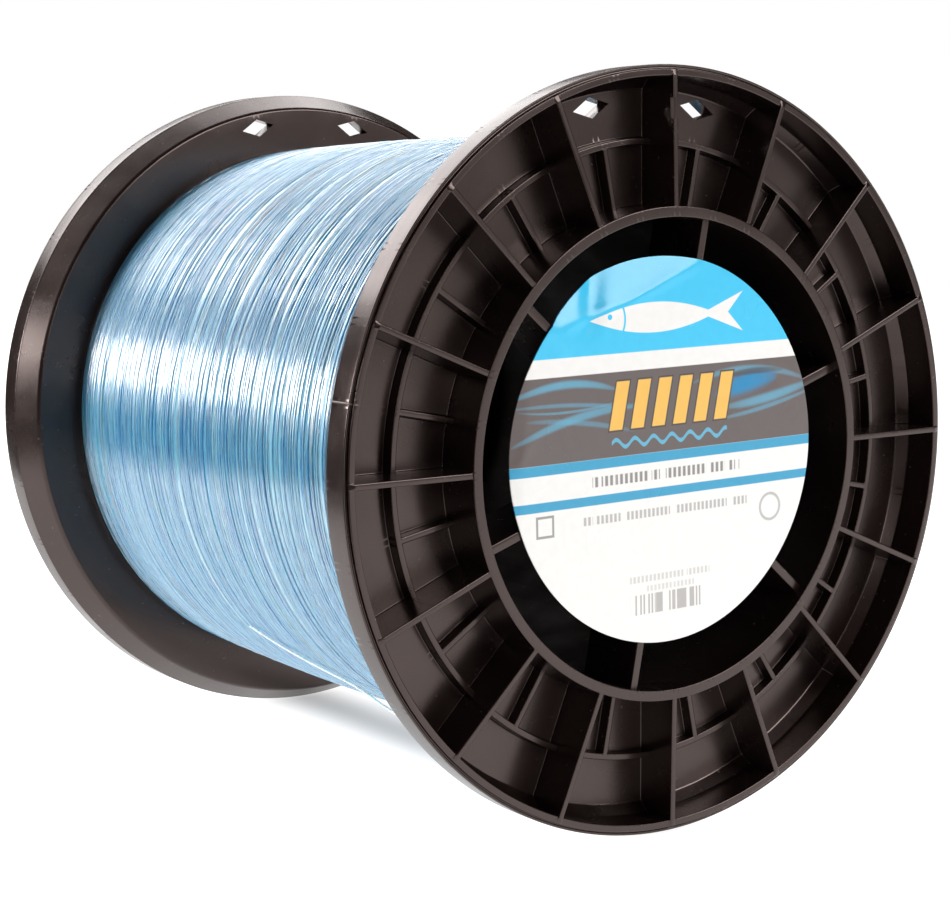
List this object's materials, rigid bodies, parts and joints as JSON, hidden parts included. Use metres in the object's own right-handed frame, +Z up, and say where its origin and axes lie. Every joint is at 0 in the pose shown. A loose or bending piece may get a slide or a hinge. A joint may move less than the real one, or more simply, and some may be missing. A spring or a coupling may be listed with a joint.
{
  "type": "fishing line spool",
  "caption": "Bulk spool of blue monofilament line: ribbed dark plastic flanges on a wound barrel, with a round label on each end.",
  "frame": {"origin": "on the ground below the middle of the spool, which stands on its two rims", "axes": "+Y along the spool's axis from the labelled front flange to the back flange, +Z up through the top rib, +X to the right as seen from the front"},
  "size_m": [0.1848, 0.1864, 0.1848],
  "materials": {
    "spool_plastic": "satin dark brown-black moulded polystyrene",
    "line": "clear light-blue nylon monofilament",
    "label": "printed, lightly glossy paper"
  },
  "bodies": {
    "root": {"front_flange": "spool_plastic", "back_flange": "spool_plastic", "barrel": "spool_plastic", "line_winding": "line", "line_tail": "line", "front_label": "label", "back_label": "label"}
  },
  "joints": []
}
